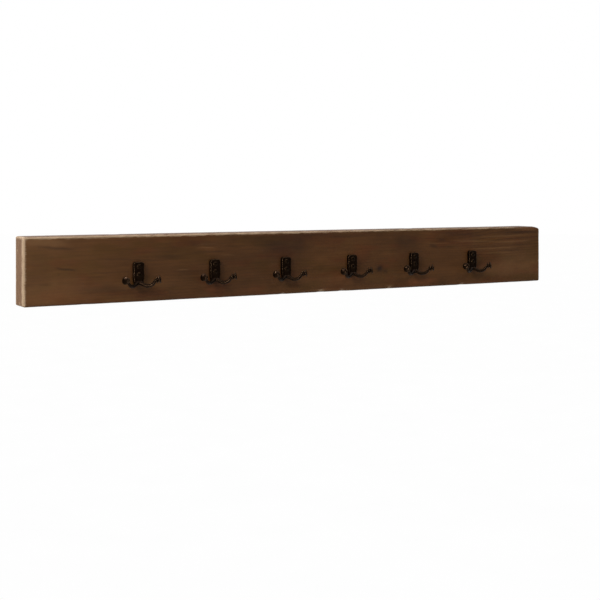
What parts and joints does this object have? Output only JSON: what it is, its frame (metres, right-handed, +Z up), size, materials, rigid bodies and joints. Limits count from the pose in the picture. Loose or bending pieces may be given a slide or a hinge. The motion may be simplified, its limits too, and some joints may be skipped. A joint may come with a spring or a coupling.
{
  "type": "wall hook rack",
  "caption": "Thick dark-stained plank with a row of dark double-prong robe hooks on its face and keyhole hangers let into its back, for hanging coats on a wall.",
  "frame": {"origin": "centre of the plank's back face, which lies against the wall (mount wall_face)", "axes": "+X along the plank to the right of someone who faces it, +Y into the wall, +Z up"},
  "size_m": [0.957, 0.0652, 0.1],
  "materials": {
    "board_wood": "dark walnut stain, satin, worn pale on the arrises",
    "hook_bronze": "oil-rubbed bronze, satin, rubbed on the edges",
    "screw_bronze": "antique bronze, satin",
    "hanger_steel": "zinc-plated, rolled",
    "hanger_screw_steel": "zinc-plated, yellow passivated"
  },
  "bodies": {
    "root": {"board": "board_wood", "hook_1": "hook_bronze", "hook_screw_upper_1": "screw_bronze", "hook_screw_lower_1": "screw_bronze", "hook_2": "hook_bronze", "hook_screw_upper_2": "screw_bronze", "hook_screw_lower_2": "screw_bronze", "hook_3": "hook_bronze", "hook_screw_upper_3": "screw_bronze", "hook_screw_lower_3": "screw_bronze", "hook_4": "hook_bronze", "hook_screw_upper_4": "screw_bronze", "hook_screw_lower_4": "screw_bronze", "hook_5": "hook_bronze", "hook_screw_upper_5": "screw_bronze", "hook_screw_lower_5": "screw_bronze", "hook_6": "hook_bronze", "hook_screw_upper_6": "screw_bronze", "hook_screw_lower_6": "screw_bronze", "keyhole_hanger_left": "hanger_steel", "hanger_screw_left_upper": "hanger_screw_steel", "hanger_screw_left_lower": "hanger_screw_steel", "keyhole_hanger_right": "hanger_steel", "hanger_screw_right_upper": "hanger_screw_steel", "hanger_screw_right_lower": "hanger_screw_steel"}
  },
  "joints": []
}
